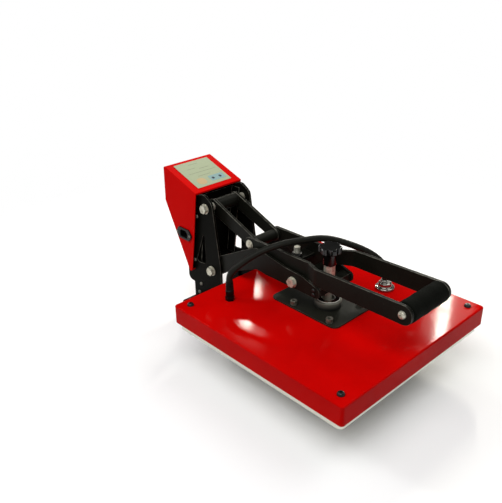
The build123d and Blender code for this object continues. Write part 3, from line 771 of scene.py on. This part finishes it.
# Cover screws, in metres: how far from the edges they stand, and their outline
cover_screw_inset = 0.022
cover_screw_outline = [
    (0, 0.0032), (0.0019, 0.0032), (0.0022, 0.0046), (0.0034, 0.0048), (0.0046, 0.0042), (0.0056, 0.0030),
    (0.0063, 0.0014), (0.0065, 0.0), (0.0024, 0.0), (0.0024, -0.011), (0, -0.011),
]


def make_cover_screws():
    """A domed head with a driver recess at each corner."""
    heads = bmesh.new()
    reach = cover_half - cover_screw_inset
    for x in (-reach, reach):
        for y in (-reach, reach):
            turned(heads, cover_screw_outline, (x, y + spindle_y, cover_top), upward, steps=32)
    settle("cover_screw_heads", heads, "oxide", "platen", ("cover_screws",), sharp=40)


# Heater conduit: its route in millimetres from the spindle's foot, from gland to fitting
conduit_route = [
    (*gland_spot, 38), (*gland_spot, 50), (-107, 137, 61.5), (-96, 129, 72.5), (-80.5, 118.5, 85),
    (-58, 103.5, 98.5), (-26.4, 83.1, 107.6), (7.5, 68, 107), (35, 58, 105.6), (58, 42.5, 101),
    (79, 20, 91.6), (98.5, -4.5, 79.8), (113.5, -21.5, 65), (122.7, -30, 50), (*fitting_spot, 36),
    (*fitting_spot, 20),
]
conduit_width = 0.0125


def make_conduit():
    line = bpy.data.curves.new("heater_conduit_line", "CURVE")
    line.dimensions = "3D"
    line.bevel_depth = conduit_width / 2
    line.bevel_resolution = 5
    line.resolution_u = 10
    run = line.splines.new("NURBS")
    run.points.add(len(conduit_route) - 1)
    for point, spot in zip(run.points, conduit_route):
        point.co = (*over_cover(*spot), 1)
    run.order_u = 3
    run.use_endpoint_u = True
    line.materials.append(finish["sleeve"])
    conduit = add_object("heater_conduit_hose", line)
    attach(conduit, "platen")
    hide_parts("heater_conduit")
    over_cover(-113, 142, 38)


# The gland, in metres: its hexagon, and the grooves of the bend relief above the nut
gland_corner, gland_height = 0.0092, 0.009
gland_nut = [(0.0, 0.009), (0.0076, 0.009), (0.008, 0.0098), (0.008, 0.0195), (0.0077, 0.0215),
             (0.0070, 0.0222)]
gland_grooves, first_groove, groove_spacing, groove_depth = 5, 0.0236, 0.0028, 0.0006


def make_gland():
    """A hexagon body, a domed nut and a tapered, grooved bend relief."""
    gland = bmesh.new()
    place = over_cover(*gland_spot)
    profile = list(gland_nut)
    for groove in range(gland_grooves):
        height = first_groove + groove * groove_spacing
        radius = 0.0075 - groove * 0.0001
        profile += [(radius, height), (radius, height + 0.0012), (radius - groove_depth, height + 0.0016),
                    (radius - groove_depth, height + 0.0024)]
    profile += [(0.0071, 0.0378), (0.0064, 0.038), (0.0, 0.038)]
    turned(gland, profile, place, upward, steps=40)
    hexagon(gland, place, upward, gland_corner * 3 ** 0.5, gland_height)
    settle("cable_gland_body", gland, "plastic", "platen", ("cable_gland",))


fitting_outline = [
    (0.0, 0.0), (0.0178, 0.0), (0.0183, 0.0006), (0.0183, 0.0036), (0.0178, 0.0046), (0.0160, 0.0054),
    (0.0138, 0.0058), (0.0129, 0.0064), (0.0126, 0.0076), (0.0124, 0.0105), (0.0126, 0.0122),
    (0.0120, 0.0132), (0.0094, 0.0137), (0.0087, 0.0144), (0.0087, 0.0186), (0.008, 0.0196),
    (0.0064, 0.02), (0.0, 0.02),
]


def make_fitting():
    """A plated flange, a waisted neck and a cup that grips the sleeve."""
    fitting = bmesh.new()
    turned(fitting, fitting_outline, over_cover(*fitting_spot), upward, steps=56)
    settle("conduit_fitting_plated", fitting, "nickel", "platen", ("conduit_fitting",), sharp=50)


# Grip, in metres: the sleeve's bore, and the ripple that the hand has pressed into it
sleeve_bore = 0.0111
ripple_depth, ripple_rate, ripple_steps = 0.0003, 210, 24


def make_grip():
    """The foam sleeve and the two end screws."""
    low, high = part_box("foam_grip")
    centre = (low + high) / 2
    half = (high.x - low.x) / 2
    outer = (high.z - low.z) / 2
    end = [(sleeve_bore, half), (outer - 0.003, half), (outer - 0.0012, half - 0.0006),
           (outer - 0.0003, half - 0.002)]
    profile = [(radius, -along) for radius, along in end]
    for step in range(1, ripple_steps):
        along = -half + 2 * half * step / ripple_steps
        profile.append((outer - 0.0001 - ripple_depth * (1 + sin(along * ripple_rate)), along))
    profile += end[::-1] + profile[:1]
    sleeve, screws = bmesh.new(), bmesh.new()
    turned(sleeve, profile, centre, (1, 0, 0), steps=64)
    settle("foam_sleeve", sleeve, "foam", "handle", ("foam_grip",), sharp=50)
    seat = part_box("handle_bar_right")[1].x
    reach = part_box("grip_bolts")[1].x - seat
    head = [
        (0.0, reach * 0.55), (0.0022, reach * 0.55), (0.0024, reach), (0.0042, reach * 0.97),
        (0.0056, reach * 0.74), (0.0066, reach * 0.38), (0.007, 0.0), (0.0039, 0.0), (0.0039, -0.02),
        (0.0, -0.02),
    ]
    for side in left_and_right:
        turned(screws, head, (side * seat, centre.y, centre.z), (side, 0, 0), steps=40)
    settle("grip_end_screws", screws, "zinc", "handle", ("grip_bolts",), sharp=50)


# Printed patches on the film: name, finish, how far they stand above its middle, and the cards that make
# them, each from left to right and from foot to head in fractions of the film, with its corner radius
film_patches = (
    ("key_field", "blue", 0.0003, ((0.5, 0.93, 0.1, 0.31, 0.0015),)),
    ("warm_key", "orange", 0.0003, ((0.14, 0.38, 0.08, 0.32, 0.0085),)),
    ("field_keys", "dark_key", 0.0005, ((0.56, 0.63, 0.16, 0.24, 0.0026), (0.77, 0.84, 0.16, 0.24, 0.0026))),
)
film_thickness = 0.0008
patch_thickness = 0.00025


def make_film():
    """The operator's film on the box's sloping top, and its printed patches."""
    low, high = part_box("control_panel")
    slope = atan2(high.z - low.z, high.y - low.y)
    width = high.x - low.x
    length = hypot(high.y - low.y, high.z - low.z)
    turn = Matrix.Translation((low + high) / 2) @ Matrix.Rotation(slope, 4, "X")

    def card(shape, x_from, x_to, y_from, y_to, corner, lift, thickness):
        """A thin rounded card, lying flat until the whole shape is turned onto the slope."""
        size = Matrix.Diagonal(((x_to - x_from) * width, (y_to - y_from) * length, thickness, 1))
        spot = (((x_from + x_to) / 2 - 0.5) * width, ((y_from + y_to) / 2 - 0.5) * length,
                lift + thickness / 2)
        made = bmesh.ops.create_cube(shape, size=1.0, matrix=Matrix.Translation(spot) @ size)
        upright = [edge for edge in edges_of(made)
                   if abs((edge.verts[0].co - edge.verts[1].co).normalized().z) > 0.9]
        round_off(shape, upright, corner, segments=5)

    film = bmesh.new()
    card(film, 0, 1, 0, 1, 0.002, -film_thickness / 2, film_thickness)
    flat = film.loops.layers.uv.new("film")
    for face in film.faces:
        for loop in face.loops:
            loop[flat].uv = (loop.vert.co.x / width + 0.5, loop.vert.co.y / length + 0.5)
    bmesh.ops.transform(film, matrix=turn, verts=film.verts)
    settle("operator_film", film, "film", "frame", ("control_panel",))
    for name, coat, lift, cards in film_patches:
        patch = bmesh.new()
        for spread in cards:
            card(patch, *spread, lift, patch_thickness)
        bmesh.ops.transform(patch, matrix=turn, verts=patch.verts)
        settle(name, patch, coat, "frame")


make_conduit()
make_gland()
make_fitting()
dress_parts()
make_stop_stud()
make_toggle_heads()
make_small_screws()
make_box_vents()
make_cover_screws()
make_grip()
make_film()


# Studio: pale floor, white surroundings and soft lamps
floor_half = 1.2
floor_fade = (0.55, 1.15)
sky_fill = 0.3


def make_floor():
    """A pale floor that keeps the press's shadow and gives way to the white backdrop further out."""
    paint = Paint("studio_floor", (0.9, 0.9, 0.9), Roughness=0.9, Specular_IOR_Level=0.0)
    ray = paint.node("ShaderNodeLightPath")
    shown = ray.out("Is Camera Ray") + ray.out("Is Glossy Ray") + ray.out("Is Transmission Ray")
    paint.set("Base Color", paint.blend(shown, (0.45, 0.45, 0.45), (1.0, 1.0, 1.0)))
    far = paint.node("ShaderNodeVectorMath", {"operation": "LENGTH"}, {"Vector": paint.place()}).out("Value")
    paint.set("Alpha", 1 - paint.window(far, *floor_fade))
    shape = bmesh.new()
    bmesh.ops.create_grid(shape, x_segments=1, y_segments=1, size=floor_half)
    floor = mesh_object("studio_floor", shape, paint.material)


def light_world():
    """White to the camera, an even fill on the press, and in its gloss white low down and darker overhead."""
    world = bpy.data.worlds.new("studio")
    bpy.context.scene.world = world
    world.use_nodes = True
    sky = Canvas(world.node_tree)
    ray = sky.node("ShaderNodeLightPath")
    reflected = ray.out("Is Glossy Ray").larger(ray.out("Is Transmission Ray"))
    height = sky.split(sky.node("ShaderNodeTexCoord").out("Generated"))[2]
    in_reflections = sky.window(height, 0.02, 0.24, under=1.0, over=0.06)
    strength = sky.mix(ray.out("Is Camera Ray"), sky.mix(reflected, sky_fill, in_reflections), 1.0)
    background = world.node_tree.nodes["Background"].inputs
    sky.feed(background["Color"], (1, 1, 1, 1))
    sky.feed(background["Strength"], strength)


# Lamps, in metres and watts: name, place, what it looks at, width and length, power
broad_lamps = (
    ("key", (-1.3, -0.6, 2.35), (0, 0, 0.15), (2.2, 2.2), 44),
    ("fill", (1.3, -0.9, 2.3), (0, 0, 0.15), (1.6, 1.4), 13),
    ("back", (-1.3, 1.95, 1.9), (0, 0, 0.2), (1.6, 0.8), 12),
    ("edge_strip", (-1.1, 1.2, 1.35), (-0.2, -0.1, 0.127), (0.12, 0.5), 5),
)
# Windows that the cover mirrors: name, place on the cover in millimetres from the spindle's foot, size, power
windows = (
    ("window_near_conduit", (-54, 132), (0.032, 0.066), 1.0),
    ("window_left", (-147, 62), (0.05, 0.026), 1.3),
    ("window_left_tail", (-150, 30), (0.07, 0.09), 0.22),
    ("window_right", (123, -162), (0.045, 0.27), 7.0),
    ("window_right_haze", (160, -152), (0.2, 0.3), 1.5),
)
window_distance = 1.6
white = (1.0, 1.0, 1.0)
cream = (1.0, 0.97, 0.86)


def soft_lamp(name, place, target, size, power, colour):
    data = bpy.data.lights.new(name, "AREA")
    data.shape = "RECTANGLE"
    data.size, data.size_y = size
    data.energy = power
    data.color = colour
    place = Vector(place)
    aim = (place - Vector(target)).to_track_quat("Z", "Y").to_matrix().to_4x4()
    add_object(name, data).matrix_world = Matrix.Translation(place) @ aim


def light_press():
    for lamp in broad_lamps:
        soft_lamp(*lamp, white)
    for name, seen_at, size, power in windows:
        spot = over_cover(*seen_at)
        away = spot - camera.matrix_world.translation
        away.z = -away.z
        soft_lamp(name, spot + away.normalized() * window_distance, spot, size, power, cream)


make_floor()
light_world()
light_press()

bpy.context.scene.view_settings.view_transform = "Standard"
